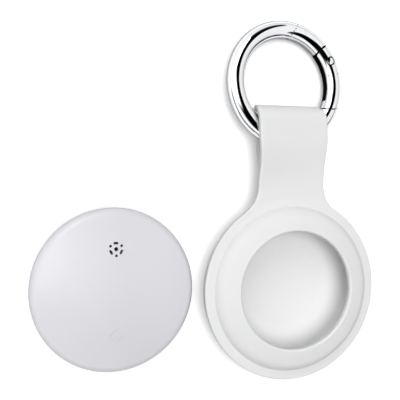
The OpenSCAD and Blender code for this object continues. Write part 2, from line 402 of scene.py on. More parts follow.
def group_node(nodes, group, **values):
    """A node that uses a shared group, with the given inputs."""
    node = nodes.new("ShaderNodeGroup")
    node.node_tree = group
    for key, value in values.items():
        node.inputs[key.replace("_", " ")].default_value = value
    return node


def make_group(name, inputs, outputs):
    """A node group with its nodes, links, input node and output node."""
    group = bpy.data.node_groups.new(name, "ShaderNodeTree")
    for label, kind, default in inputs:
        sock = group.interface.new_socket(name=label, in_out="INPUT", socket_type=kind)
        if default is not None:
            sock.default_value = default
    for label, kind in outputs:
        group.interface.new_socket(name=label, in_out="OUTPUT", socket_type=kind)
    nodes = group.nodes
    return group, nodes, group.links, nodes.new("NodeGroupInput"), nodes.new("NodeGroupOutput")


def fine_grain_group():
    """Fine moulded grain: a height for a bump and a mask that varies the roughness."""
    group, nodes, links, gin, gout = make_group(
        "Fine grain",
        [
            ("Vector", "NodeSocketVector", None),
            ("Scale", "NodeSocketFloat", 9000.0),
            ("Patch", "NodeSocketFloat", 120.0),
        ],
        [("Height", "NodeSocketFloat"), ("Patches", "NodeSocketFloat")],
    )
    grain = nodes.new("ShaderNodeTexNoise")
    grain.inputs["Detail"].default_value = 3.0
    patch = nodes.new("ShaderNodeTexNoise")
    patch.inputs["Detail"].default_value = 4.0
    patch.inputs["Roughness"].default_value = 0.6
    links.new(gin.outputs["Vector"], grain.inputs["Vector"])
    links.new(gin.outputs["Scale"], grain.inputs["Scale"])
    links.new(gin.outputs["Vector"], patch.inputs["Vector"])
    links.new(gin.outputs["Patch"], patch.inputs["Scale"])
    links.new(grain.outputs["Fac"], gout.inputs["Height"])
    links.new(patch.outputs["Fac"], gout.inputs["Patches"])
    return group


def specks_group():
    """Sparse tiny specks of lint and dust, as a mask."""
    group, nodes, links, gin, gout = make_group(
        "Lint specks",
        [
            ("Vector", "NodeSocketVector", None),
            ("Scale", "NodeSocketFloat", 700.0),
            ("Amount", "NodeSocketFloat", 0.1),
        ],
        [("Mask", "NodeSocketFloat")],
    )
    cells = nodes.new("ShaderNodeTexVoronoi")
    cells.feature = "F1"
    spread = nodes.new("ShaderNodeTexNoise")
    spread.inputs["Scale"].default_value = 90.0
    near = nodes.new("ShaderNodeMath")
    near.operation = "LESS_THAN"
    zone = nodes.new("ShaderNodeMapRange")
    zone.inputs["From Min"].default_value = 0.5
    zone.inputs["From Max"].default_value = 0.7
    both = nodes.new("ShaderNodeMath")
    both.operation = "MULTIPLY"
    links.new(gin.outputs["Vector"], cells.inputs["Vector"])
    links.new(gin.outputs["Scale"], cells.inputs["Scale"])
    links.new(gin.outputs["Vector"], spread.inputs["Vector"])
    links.new(cells.outputs["Distance"], near.inputs[0])
    links.new(gin.outputs["Amount"], near.inputs[1])
    links.new(spread.outputs["Fac"], zone.inputs["Value"])
    links.new(near.outputs["Value"], both.inputs[0])
    links.new(zone.outputs["Result"], both.inputs[1])
    links.new(both.outputs["Value"], gout.inputs["Mask"])
    return group


def scratches_group():
    """Hair-fine polishing and handling scratches, as a mask."""
    group, nodes, links, gin, gout = make_group(
        "Fine scratches",
        [
            ("Vector", "NodeSocketVector", None),
            ("Scale", "NodeSocketFloat", 900.0),
            ("Stretch", "NodeSocketVector", (1.0, 0.04, 1.0)),
        ],
        [("Mask", "NodeSocketFloat")],
    )
    stretch = nodes.new("ShaderNodeVectorMath")
    stretch.operation = "MULTIPLY"
    lines = nodes.new("ShaderNodeTexNoise")
    lines.inputs["Detail"].default_value = 5.0
    lines.inputs["Roughness"].default_value = 0.7
    pick = nodes.new("ShaderNodeMapRange")
    pick.inputs["From Min"].default_value = 0.56
    pick.inputs["From Max"].default_value = 0.72
    links.new(gin.outputs["Vector"], stretch.inputs[0])
    links.new(gin.outputs["Stretch"], stretch.inputs[1])
    links.new(stretch.outputs["Vector"], lines.inputs["Vector"])
    links.new(gin.outputs["Scale"], lines.inputs["Scale"])
    links.new(lines.outputs["Fac"], pick.inputs["Value"])
    links.new(pick.outputs["Result"], gout.inputs["Mask"])
    return group


def shared(name, maker):
    """The node group of that name, made once."""
    return bpy.data.node_groups.get(name) or maker()


def object_vector(nodes):
    """The place on the object, in its own frame."""
    return nodes.new("ShaderNodeTexCoord").outputs["Object"]


def varied_colour(nodes, links, factor, low, high):
    """Colour between low and high, by a factor."""
    mix = nodes.new("ShaderNodeMix")
    mix.data_type = "RGBA"
    mix.inputs["A"].default_value = (*low, 1)
    mix.inputs["B"].default_value = (*high, 1)
    links.new(factor, mix.inputs["Factor"])
    return mix.outputs["Result"]


def varied_value(nodes, links, factor, low, high):
    """Value between low and high, by a factor."""
    span = nodes.new("ShaderNodeMapRange")
    span.inputs["From Min"].default_value = 0.3
    span.inputs["From Max"].default_value = 0.7
    span.inputs["To Min"].default_value = low
    span.inputs["To Max"].default_value = high
    links.new(factor, span.inputs["Value"])
    return span.outputs["Result"]


def bump(nodes, links, height, bsdf, strength, distance):
    """Gives the shader a bump from a height."""
    node = nodes.new("ShaderNodeBump")
    node.inputs["Strength"].default_value = strength
    node.inputs["Distance"].default_value = distance
    links.new(height, node.inputs["Height"])
    links.new(node.outputs["Normal"], bsdf.inputs["Normal"])


def moulded_plastic(name, colour, low, high, coat=0.0, scatter=0.0):
    """Moulded plastic with a faint grain and patches of slightly different gloss."""
    mat, nodes, links, bsdf = new_material(name)
    where = object_vector(nodes)
    grain = group_node(nodes, shared("Fine grain", fine_grain_group), Scale=6500.0, Patch=90.0)
    links.new(where, grain.inputs["Vector"])
    dark = tuple(c * 0.975 for c in colour)
    links.new(
        varied_colour(nodes, links, grain.outputs["Patches"], dark, colour), bsdf.inputs["Base Color"],
    )
    links.new(varied_value(nodes, links, grain.outputs["Patches"], low, high), bsdf.inputs["Roughness"])
    bump(nodes, links, grain.outputs["Height"], bsdf, 0.06, 0.00002)
    bsdf.inputs["IOR"].default_value = 1.5
    bsdf.inputs["Coat Weight"].default_value = coat
    bsdf.inputs["Coat Roughness"].default_value = 0.12
    if scatter:
        bsdf.inputs["Subsurface Weight"].default_value = scatter
        bsdf.inputs["Subsurface Radius"].default_value = (0.8, 0.8, 0.8)
        bsdf.inputs["Subsurface Scale"].default_value = 0.0008
    return mat


def silicone(name, colour):
    """Matte moulded silicone with a powdery skin and a little lint."""
    mat, nodes, links, bsdf = new_material(name)
    where = object_vector(nodes)
    grain = group_node(nodes, shared("Fine grain", fine_grain_group), Scale=4200.0, Patch=70.0)
    specks = group_node(nodes, shared("Lint specks", specks_group), Scale=420.0, Amount=0.045)
    links.new(where, grain.inputs["Vector"])
    links.new(where, specks.inputs["Vector"])
    dark = tuple(c * 0.97 for c in colour)
    base = varied_colour(nodes, links, grain.outputs["Patches"], dark, colour)
    mix = nodes.new("ShaderNodeMix")
    mix.data_type = "RGBA"
    mix.inputs["B"].default_value = (0.62, 0.61, 0.6, 1)
    links.new(base, mix.inputs["A"])
    links.new(specks.outputs["Mask"], mix.inputs["Factor"])
    links.new(mix.outputs["Result"], bsdf.inputs["Base Color"])
    links.new(varied_value(nodes, links, grain.outputs["Patches"], 0.5, 0.62), bsdf.inputs["Roughness"])
    bump(nodes, links, grain.outputs["Height"], bsdf, 0.12, 0.00003)
    bsdf.inputs["IOR"].default_value = 1.41
    bsdf.inputs["Subsurface Weight"].default_value = 0.25
    bsdf.inputs["Subsurface Radius"].default_value = (1.0, 0.98, 0.95)
    bsdf.inputs["Subsurface Scale"].default_value = 0.0009
    return mat


def metal(name, colour, rough, worn, scale=900.0):
    """Metal with hair-fine scratches that dull it a little and give it a faint bump, and patches of slightly
    different roughness.
    """
    mat, nodes, links, bsdf = new_material(name)
    where = object_vector(nodes)
    marks = group_node(nodes, shared("Fine scratches", scratches_group), Scale=scale)
    grain = group_node(nodes, shared("Fine grain", fine_grain_group), Scale=3000.0, Patch=160.0)
    links.new(where, marks.inputs["Vector"])
    links.new(where, grain.inputs["Vector"])
    dull = tuple(c * 0.93 for c in colour)
    links.new(varied_colour(nodes, links, marks.outputs["Mask"], colour, dull), bsdf.inputs["Base Color"])
    links.new(varied_value(nodes, links, grain.outputs["Patches"], rough, worn), bsdf.inputs["Roughness"])
    bump(nodes, links, marks.outputs["Mask"], bsdf, 0.03, 0.00001)
    bsdf.inputs["Metallic"].default_value = 1.0
    return mat


def circuit_board_material():
    """Green solder mask with darker copper traces under it."""
    mat, nodes, links, bsdf = new_material("Solder mask")
    where = object_vector(nodes)
    traces = nodes.new("ShaderNodeTexBrick")
    traces.inputs["Scale"].default_value = 420.0
    traces.inputs["Mortar Size"].default_value = 0.03
    traces.inputs["Color1"].default_value = (0.02, 0.17, 0.08, 1)
    traces.inputs["Color2"].default_value = (0.025, 0.2, 0.095, 1)
    traces.inputs["Mortar"].default_value = (0.05, 0.3, 0.14, 1)
    links.new(where, traces.inputs["Vector"])
    links.new(traces.outputs["Color"], bsdf.inputs["Base Color"])
    grain = group_node(nodes, shared("Fine grain", fine_grain_group), Scale=5000.0, Patch=200.0)
    links.new(where, grain.inputs["Vector"])
    links.new(varied_value(nodes, links, grain.outputs["Patches"], 0.28, 0.42), bsdf.inputs["Roughness"])
    return mat


def black_mesh_material():
    """Woven black screen behind the sound holes."""
    mat, nodes, links, bsdf = new_material("Sound screen")
    where = object_vector(nodes)
    weave = nodes.new("ShaderNodeTexWave")
    weave.inputs["Scale"].default_value = 2200.0
    links.new(where, weave.inputs["Vector"])
    links.new(
        varied_colour(nodes, links, weave.outputs["Fac"], (0.004, 0.004, 0.004), (0.012, 0.012, 0.013)),
        bsdf.inputs["Base Color"],
    )
    bsdf.inputs["Roughness"].default_value = 0.9
    bump(nodes, links, weave.outputs["Fac"], bsdf, 0.3, 0.00002)
    return mat


def material(name):
    """The finish of that name, made once."""
    found = bpy.data.materials.get(name)
    if found:
        return found
    scene = bpy.context.scene
    makers = {
        "Casing white": lambda: moulded_plastic(
            "Casing white", tuple(scene.tag_settings.colour), 0.27, 0.33, coat=0.15, scatter=0.15,
        ),
        "Silicone white": lambda: silicone("Silicone white", tuple(scene.holder_settings.colour)),
        # The back half's silicone is the front's colour made 6% lighter: painted light that brightens the
        # floor seen through the window.
        "Silicone back painted lighter": lambda: silicone(
            "Silicone back painted lighter",
            tuple(c * 1.06 for c in scene.holder_settings.colour),
        ),
        "Polished ring": lambda: metal(
            "Polished ring",
            (0.9, 0.905, 0.91),
            scene.ring_settings.polish,
            scene.ring_settings.polish + 0.03,
        ),
        "Turned pin": lambda: metal("Turned pin", (0.78, 0.79, 0.8), 0.18, 0.3, scale=2500.0),
        # Near-black metal for the ring's cut faces: painted shade in its seams, channel and pin bore.
        "Painted cut shade": lambda: metal("Painted cut shade", (0.02, 0.02, 0.021), 0.5, 0.7, scale=2500.0),
        "Cell steel": lambda: metal("Cell steel", (0.75, 0.76, 0.77), 0.25, 0.38, scale=1600.0),
        "Contact brass": lambda: metal("Contact brass", (0.83, 0.68, 0.36), 0.22, 0.34, scale=1800.0),
        "Inner plastic": lambda: moulded_plastic("Inner plastic", (0.55, 0.56, 0.58), 0.45, 0.6),
        "Black parts": lambda: moulded_plastic("Black parts", (0.02, 0.02, 0.022), 0.4, 0.55),
        "Seal rubber": lambda: moulded_plastic("Seal rubber", (0.025, 0.025, 0.025), 0.6, 0.75),
        "Solder mask": circuit_board_material,
        "Sound screen": black_mesh_material,
    }
    return makers[name]()


# ---------------------------------------------------------------- the tag


def sound_hole_tool():
    """Seven upright cutters: one round hole, three slots and three small round holes."""
    bm = bmesh.new()
    at_y = 8.3
    rod(bm, 0.4, 5.5, 9, at=(0, at_y), steps=24)
    for deg in (90, 210, 330):
        a = math.radians(deg)
        mid = Vector((1.12 * math.cos(a), at_y + 1.12 * math.sin(a)))
        along = Vector((-math.sin(a), math.cos(a)))
        half = bmesh.new()
        ends = circle_points(0.24, 24)
        outline = []
        for x, y in ends:
            shift = 0.25 if x > 0 else -0.25
            outline.append(half.verts.new((x + shift, y, 5.5)))
        face = half.faces.new(outline)
        out = bmesh.ops.extrude_face_region(half, geom=[face], use_keep_orig=True)
        bmesh.ops.translate(
            half,
            verts=[v for v in out["geom"] if isinstance(v, bmesh.types.BMVert)],
            vec=(0, 0, 3.5),
        )
        bmesh.ops.recalc_face_normals(half, faces=half.faces[:])
        turn = Matrix.Translation((mid.x, mid.y, 0)) @ Matrix.Rotation(math.atan2(along.y, along.x), 4, "Z")
        bmesh.ops.transform(half, matrix=turn, verts=half.verts[:])
        merge_in(bm, half)
    for deg in (30, 150, 270):
        a = math.radians(deg)
        rod(bm, 0.26, 5.5, 9, at=(1.22 * math.cos(a), at_y + 1.22 * math.sin(a)), steps=20)
    return to_object(bm, "hole_tool", tag_place())


def press_mark_tool():
    """Thin square outline with a dot, laid on the slope of the dome."""
    bm = bmesh.new()
    spin_line(bm, [(1.23, -0.12), (1.485, -0.12), (1.485, 1), (1.23, 1)], 4, closed=True)
    rod(bm, 0.25, -0.12, 1, steps=20)
    slope = math.asin(8.1 / 50)
    top = 8 - 50 + math.sqrt(50 * 50 - 8.1 * 8.1)
    place = tag_place() @ Matrix.Translation((0, -8.1, top)) @ Matrix.Rotation(slope, 4, "X")
    return to_object(bm, "mark_tool", place)


class MakeTagFront(bpy.types.Operator):
    """Front shell: shallow dome with sound holes, press mark, inner skirt and press nub"""

    bl_idname = "object.tag_front"
    bl_label = "Tag front shell"

    def execute(self, context):
        s = context.scene.tag_settings
        r, bend, wall = s.radius, s.dome, s.wall
        inner_rim, inner_h, inner_bend = r - wall, 4 - wall, bend - wall
        outside = raised(dome_line(r, 4, bend, 0.0, cap_steps=46, edge_steps=20), PART_Z)
        inside = raised(dome_line(inner_rim, inner_h, inner_bend, 1.0, r_to=13.95, cap_steps=16), PART_Z)
        e = edge_radius(inner_rim, inner_h, inner_bend)
        first = math.degrees(math.acos((14.5 - inner_rim + e) / e))
        rim_inner = corner(inner_rim - e, PART_Z, e, 0, first, 6)
        line = outside[:-1]
        line += corner(r - 0.12, PART_Z + 0.12, 0.12, 0, -90, 4)
        line += rim_inner
        line += [(14.5, 3.2), (13.95, 3.2)]
        line += list(reversed(inside))
        line += [(1.0, 5.75), (0.0, 5.75)]
        bm = bmesh.new()
        spin_line(bm, line, s.steps)
        shell = to_object(bm, "front_cover", tag_place())
        carve(shell, sound_hole_tool())
        carve(shell, press_mark_tool())
        finish_piece(shell, material("Casing white"), sharp=35)
        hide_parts("top_shell")
        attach(shell, "tag_front")
        return {"FINISHED"}


class MakeTagRear(bpy.types.Operator):
    """Rear housing with its bayonet mouths, and the twist-off battery door"""

    bl_idname = "object.tag_rear"
    bl_label = "Tag rear housing and door"

    def execute(self, context):
        s = context.scene.tag_settings
        r, bend = s.radius, s.dome
        outer = raised(
            dome_line(r, 4.6, bend, 11.4, z_to=0.36, cap_steps=12, edge_steps=20), PART_Z, flip=True,
        )
        inner = raised(
            dome_line(r - 1, 3.6, bend - 1, 11.4, z_to=0.36, cap_steps=12, edge_steps=12),
            PART_Z,
            flip=True,
        )
        top = PART_Z - 0.36
        line = outer[:-1] + corner(outer[-1][0] - 0.12, top - 0.12, 0.12, 0, 90, 4)
        line += list(reversed(inner))
        bm = bmesh.new()
        spin_line(bm, line, s.steps, closed=True)
        housing = to_object(bm, "rear_case", tag_place())
        bm = bmesh.new()
        for deg in (120, 240, 0):
            part = bmesh.new()
            spin_line(
                part,
                [(10.75, -1), (12.35, -1), (12.35, 2.4), (10.75, 2.4)],
                10,
                closed=True,
                angle=math.radians(28),
                start=math.radians(deg - 14),
            )
            merge_in(bm, part)
        carve(housing, to_object(bm, "mouth_tool", tag_place()))
        finish_piece(housing, material("Casing white"), sharp=35)
        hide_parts("rear_housing")
        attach(housing, "tag")

        flat = math.sqrt(bend * bend - (bend - 0.6) ** 2)
        plate = raised(dome_line(r, 4.6, bend, flat, r_to=11.17, cap_steps=10), PART_Z, flip=True)
        line = [(0, 0)] + plate + corner(11.17, 0.78, 0.08, -70, 70, 3)
        line += [(11.25, 0.95), (10.9, 0.95), (10.9, 1.3), (11.25, 1.3), (11.25, 1.35)]
        line += [(11.2, 1.35), (11.2, 2.6), (10.2, 2.6), (10.2, 0.75), (0, 0.75)]
        bm = bmesh.new()
        spin_line(bm, line, s.steps)
        door = to_object(bm, "twist_door", tag_place())
        bm = bmesh.new()
        brick(bm, (-4.5, -0.6, -1), (4.5, 0.6, 0.35))
        carve(door, to_object(bm, "slot_tool", tag_place()))
        tabs = []
        for deg in (90, 210, 330):
            part = bmesh.new()
            spin_line(
                part,
                [(10.75, 2.05), (12.1, 2.05), (12.1, 2.5), (10.75, 2.5)],
                8,
                closed=True,
                angle=math.radians(24),
                start=math.radians(deg - 12),
            )
            tabs.append(to_object(part, "tab", tag_place()))
        join_into(door, *tabs)
        finish_piece(door, material("Casing white"), sharp=35)
        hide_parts("battery_door")
        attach(door, "tag_door")
        return {"FINISHED"}


class FinishInnerParts(bpy.types.Operator):
    """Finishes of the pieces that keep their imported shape"""

    bl_idname = "object.tag_inner_finish"
    bl_label = "Inner part finishes"

    def execute(self, context):
        finishes = {
            "sound_mesh": "Sound screen",
            "door_seal": "Seal rubber",
            "chassis": "Inner plastic",
            "coin_cell": "Cell steel",
            "cell_contact_plus": "Contact brass",
            "cell_contact_minus": "Contact brass",
            "circuit_board": "Solder mask",
            "radio_can": "Cell steel",
            "board_parts": "Black parts",
            "antenna": "Contact brass",
            "press_switch": "Cell steel",
            "piezo_sounder": "Contact brass",
            "gate_spring": "Turned pin",
        }
        for node, finish in finishes.items():
            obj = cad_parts[node]
            obj.data.materials.clear()
            obj.data.materials.append(material(finish))
        return {"FINISHED"}


# ---------------------------------------------------------------- the holder


def smooth_step(value, low, high):
    """Eased step from 0 at low to 1 at high."""
    t = min(1.0, max(0.0, (value - low) / (high - low)))
    return (1 - math.cos(math.pi * t)) / 2


def fold_point(y, z):
    """A point of the ring's own side plane, in the row frame's Y and Z."""
    p = ring_place() @ Vector((-RING_AT[0], y, z))
    return p.y, p.z


def strap_path(front):
    """Side view of one strap layer's middle, as points (y, z), 0.2 mm or so apart."""
    near_z = RING_AT[2] + RING_RADIUS * math.sin(RING_NOD)
    half = FLANGE / 2
    mid = FOLD_INSIDE + half
    points = []
    steps = 90
    for i in range(steps):
        y = 13.0 + (30.6 - 13.0) * i / steps
        if front:
            z = MID_Z + HALF_GAP + (near_z + FOLD_INSIDE - MID_Z - HALF_GAP) * smooth_step(y, 21, 30) + half
        else:
            z = MID_Z - HALF_GAP + (near_z - FOLD_INSIDE - MID_Z + HALF_GAP) * smooth_step(y, 23.5, 30) - half
        points.append((y, z))
    nose = -FOLD_BACK - FOLD_REACH
    if front:
        for i in range(1, 21):
            points.append(fold_point(-11.75 + (nose + 11.75) * i / 20, mid))
        for i in range(1, 29):
            a = math.pi / 2 - math.pi * i / 28
            points.append(fold_point(nose + mid * math.cos(a), mid * math.sin(a)))
        for i in range(1, 8):
            points.append(fold_point(nose - 1.4 * i / 7, -mid))
    else:
        for i in range(1, 18):
            points.append(fold_point(-11.75 + (nose - 1.43 + 11.75) * i / 17, -mid))
    for _ in range(6):
        points = [points[0]] + [
            ((a[0] + 2 * b[0] + c[0]) / 4, (a[1] + 2 * b[1] + c[1]) / 4)
            for a, b, c in zip(points, points[1:], points[2:])
        ] + [points[-1]]
    return points


def strap_sides(y, level, front, s):
    """Half widths to the left and right of a strap layer, at y and at a height above the ring's own plane."""
    lobe, strap = (s.lobe, s.strap) if front else (s.back_lobe, s.back_strap)
    neck_y = math.sqrt((lobe + NECK) ** 2 - (strap + NECK) ** 2)
    touch_y = neck_y * lobe / (lobe + NECK)
    if y < neck_y:
        half = strap + NECK - math.sqrt(NECK ** 2 - (max(y, touch_y) - neck_y) ** 2)
        return half, half
    if not front:
        half = strap + (s.under - strap) * min(1.0, max(0.0, (y - 22.35) / 8.5))
        return half, half
    half = s.strap + (s.fold - s.strap) * smooth_step(y, 25.0, 31.5)
    half += (s.under - half) * smooth_step(-level, 0.0, 2.4)
    left = right = half
    far = RING_AT[1] - FOLD_BACK
    if y > far - 2.2:
        t = min(1.0, (y - far + 2.2) / 2.2)
        right = half - 2.2 + 2.2 * math.sqrt(max(0.0, 1 - t * t))
    if y > far - 0.8:
        t = min(1.0, (y - far + 0.8) / 0.8)
        left = half - 0.8 + 0.8 * math.sqrt(max(0.0, 1 - t * t))
    return left, right


def strap_layer(front, s, name):
    """One strap layer: a flat strip with its thickness and rounded edges, bent along its path."""
    path = strap_path(front)
    run = [0.0]
    for a, b in zip(path, path[1:]):
        run.append(run[-1] + math.hypot(b[0] - a[0], b[1] - a[1]))
    total = run[-1]

    def at(distance):
        d = min(max(distance, 0.0), total)
        k = 0
        while k < len(run) - 2 and run[k + 1] < d:
            k += 1
        f = (d - run[k]) / max(1e-9, run[k + 1] - run[k])
        (y0, z0), (y1, z1) = path[k], path[k + 1]
        length = math.hypot(y1 - y0, z1 - z0)
        ty, tz = (y1 - y0) / length, (z1 - z0) / length
        up = 1.0 if front else -1.0
        return y0 + (y1 - y0) * f, z0 + (z1 - z0) * f, -tz * up, ty * up

    rows, columns = (120 if front else 84), 22
    bm = bmesh.new()
    bmesh.ops.create_grid(bm, x_segments=columns, y_segments=rows, size=1.0)
    for v in bm.verts:
        u, w = v.co.x, (v.co.y + 1) / 2
        d = total * w
        y, z, ny, nz = at(d)
        level = (z - RING_AT[2]) + (y - RING_AT[1]) * math.tan(RING_NOD) if y > 30 else 2.58
        left, right = strap_sides(y + ny * FLANGE / 2 if y > 30 else y, level, front, s)
        x = STRAP_X + u * (right if u > 0 else left)
        v.co = Vector((x, d, 0))
    flat = bm.faces[:]
    out = bmesh.ops.extrude_face_region(bm, geom=flat, use_keep_orig=True)
    moved = [g for g in out["geom"] if isinstance(g, bmesh.types.BMVert)]
    bmesh.ops.translate(bm, verts=moved, vec=(0, 0, FLANGE - 0.02))
    bmesh.ops.translate(bm, verts=bm.verts[:], vec=(0, 0, -(FLANGE - 0.02) / 2))
    bmesh.ops.recalc_face_normals(bm, faces=bm.faces[:])
    rims = []
    for edge in bm.edges:
        step = edge.verts[1].co - edge.verts[0].co
        if edge.calc_face_angle(0) > 1.2 and abs(step.z) < 1e-6 and abs(step.y) > 0.05:
            rims.append(edge)
    bmesh.ops.bevel(
        bm,
        geom=rims,
        offset=0.3,
        offset_type="OFFSET",
        affect="EDGES",
        segments=4,
        profile=0.5,
        material=-1,
    )
    for v in bm.verts:
        x, d, t = v.co
        y, z, ny, nz = at(d)
        py, pz = y + ny * t, z + nz * t
        twist = RING_LEAN * smooth_step(y, 20.0, 30.5) if y < 30.5 else RING_LEAN
        dx, dz = x - RING_AT[0], pz - 3.6
        across = RING_AT[0] + dx * math.cos(twist) + dz * math.sin(twist) * (twist > 0)
        v.co = Vector((across, py, 3.6 - dx * math.sin(twist) + dz * math.cos(twist)))
    bmesh.ops.recalc_face_normals(bm, faces=bm.faces[:])
    layer = to_object(bm, name)
    ring = bmesh.new()
    spin_line(ring, circle_points(RING_ROOM, 48, r=RING_RADIUS), 160, closed=True)
    carve(layer, to_object(ring, "ring_room", ring_place()))
    lobe = bmesh.new()
    rod(lobe, LOBE_ROOM, -5, 15, steps=200)
    carve(layer, to_object(lobe, "lobe_room"))
    return layer


class MakeHolderFront(bpy.types.Operator):
    """Front half of the silicone holder: pillow with its round window, flange, strap and fold"""

    bl_idname = "object.holder_front"
    bl_label = "Holder front half"

    def execute(self, context):
        s = context.scene.holder_settings
        low, high = MID_Z + HALF_GAP, MID_Z + HALF_GAP + FLANGE
        outer = raised(
            dome_line(
                PILLOW_OUT, 5.25, BEND_OUT, s.window + 0.45, z_to=FLANGE, cap_steps=16, edge_steps=26,
            ),
            low,
        )
        inner = raised(
            dome_line(PILLOW_IN, 4.1, BEND_IN, s.window + 0.3, z_to=HALF_GAP, cap_steps=14, edge_steps=18),
            MID_Z,
        )
        lip_top, lip_low = outer[0][1], inner[0][1]
        line = corner(s.window + 0.45, lip_top - 0.45, 0.45, 180, -90, 6)[:-1]
        line += outer
        line += corner(s.lobe - 0.35, high - 0.35, 0.35, 90, -90, 5)
        line += corner(s.lobe - 0.25, low + 0.25, 0.25, 0, -90, 4)
        line += list(reversed(inner))
        line += corner(s.window + 0.3, lip_low + 0.3, 0.3, -90, -90, 4)[1:]
        bm = bmesh.new()
        spin_line(bm, line, 200, closed=True)
        half = to_object(bm, "silicone_front")
        carve(half, strap_layer(True, s, "strap_front"), "UNION")
        finish_piece(half, material("Silicone white"), sharp=50)
        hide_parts("front_half", "strap_fold")
        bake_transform(half)
        return {"FINISHED"}


class MakeHolderBack(bpy.types.Operator):
    """Back half of the silicone holder: cup with a flat floor, flange and strap"""

    bl_idname = "object.holder_back"
    bl_label = "Holder back half"

    def execute(self, context):
        s = context.scene.holder_settings
        high, low = MID_Z - HALF_GAP, MID_Z - HALF_GAP - FLANGE
        drop = 5.85 - high
        flat_out = math.sqrt(BEND_OUT ** 2 - (BEND_OUT - drop) ** 2)
        flat_in = math.sqrt(BEND_IN ** 2 - (BEND_IN - 0.7) ** 2)
        inner = raised(
            dome_line(PILLOW_IN, 4.7, BEND_IN, flat_in, z_to=HALF_GAP, cap_steps=14, edge_steps=20),
            MID_Z,
            flip=True,
        )
        outer = raised(
            dome_line(PILLOW_OUT, 5.85, BEND_OUT, flat_out, z_to=FLANGE, cap_steps=14, edge_steps=24),
            high,
            flip=True,
        )
        line = [(0.0, 1.2)] + inner
        line += corner(s.back_lobe - 0.25, high - 0.25, 0.25, 90, -90, 4)
        line += corner(s.back_lobe - 0.35, low + 0.35, 0.35, 0, -90, 5)
        line += list(reversed(outer)) + [(0.0, 0.0)]
        bm = bmesh.new()
        spin_line(bm, line, 200)
        half = to_object(bm, "silicone_back")
        carve(half, strap_layer(False, s, "strap_back"), "UNION")
        # The back half gets the lighter copy of the silicone, painted light on the window's floor.
        finish_piece(half, material("Silicone back painted lighter"), sharp=50)
        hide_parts("back_half")
        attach(half, "holder_back")
        return {"FINISHED"}


# ---------------------------------------------------------------- the ring


def bar(a0, a1, radius, centre, steps=64):
    """Round bar along an arc of the ring, angles in degrees."""
    bm = bmesh.new()
    count = max(8, int(abs(a1 - a0) / 1.6))
    spin_line(
        bm,
        circle_points(radius, steps, r=centre),
        count,
        closed=True,
        angle=math.radians(a1 - a0),
        start=math.radians(a0),
    )
    return bm


def pin_spot(s):
    """The pin's axis in the ring's own plane."""
    reach = s.radius + PIN_OUT
    return reach * math.cos(math.radians(PIN_DEG)), reach * math.sin(math.radians(PIN_DEG))


def pin_rod(s, radius, half, steps=64):
    """Upright cylinder round the pin's axis."""
    bm = bmesh.new()
    rod(bm, radius, -half, half, at=pin_spot(s), steps=steps)
    return bm


class MakeRingBar(bpy.types.Operator):
    """Fixed part of the ring, with the tongue that the gate turns on"""

    bl_idname = "object.ring_bar"
    bl_label = "Ring bar"

    def execute(self, context):
        s = context.scene.ring_settings
        place = ring_place()
        fixed = to_object(bar(PIN_DEG + 8, PIN_DEG + 314, s.bar, s.radius), "ring_bar", place)
        carve(fixed, to_object(pin_rod(s, SEAM_OUT, 4, 96), "seam_tool", place))
        low = to_object(bar(PIN_DEG - 82, PIN_DEG, 2.6, s.radius, 24), "gate_room", place)
        carve(low, to_object(pin_rod(s, TIP_OUT, 4, 192), "tip_tool", place), "INTERSECT")
        carve(fixed, low)
        tongue = to_object(pin_rod(s, 1.2, 0.5), "tongue_eye", place)
        bm = bmesh.new()
        brick(bm, (s.radius + PIN_OUT - 1.2, 0, -0.5), (s.radius + PIN_OUT + 1.2, 4.6, 0.5))
        stem = to_object(bm, "tongue_stem", place @ Matrix.Rotation(math.radians(PIN_DEG), 4, "Z"))
        carve(
            stem,
            to_object(bar(PIN_DEG - 12, PIN_DEG + 24, s.bar - 0.12, s.radius), "tongue_limit", place),
            "INTERSECT",
        )
        carve(tongue, stem, "UNION")
        carve(tongue, to_object(pin_rod(s, 0.55, 4, 32), "pin_bore", place))
        carve(fixed, tongue, "UNION")
        finish_piece(fixed, material("Polished ring"), sharp=30)
        pin = Vector((*pin_spot(s), 0))

        def is_cut(p):
            reach = (p - pin).xy.length
            inside = math.hypot(p.xy.length - s.radius, p.z) < s.bar - 0.06
            return inside or abs(reach - SEAM_OUT) < 0.03 or abs(reach - TIP_OUT) < 0.03

        paint_shade_on_cuts(fixed, is_cut)
        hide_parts("ring_body")
        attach(fixed, "ring")
        return {"FINISHED"}


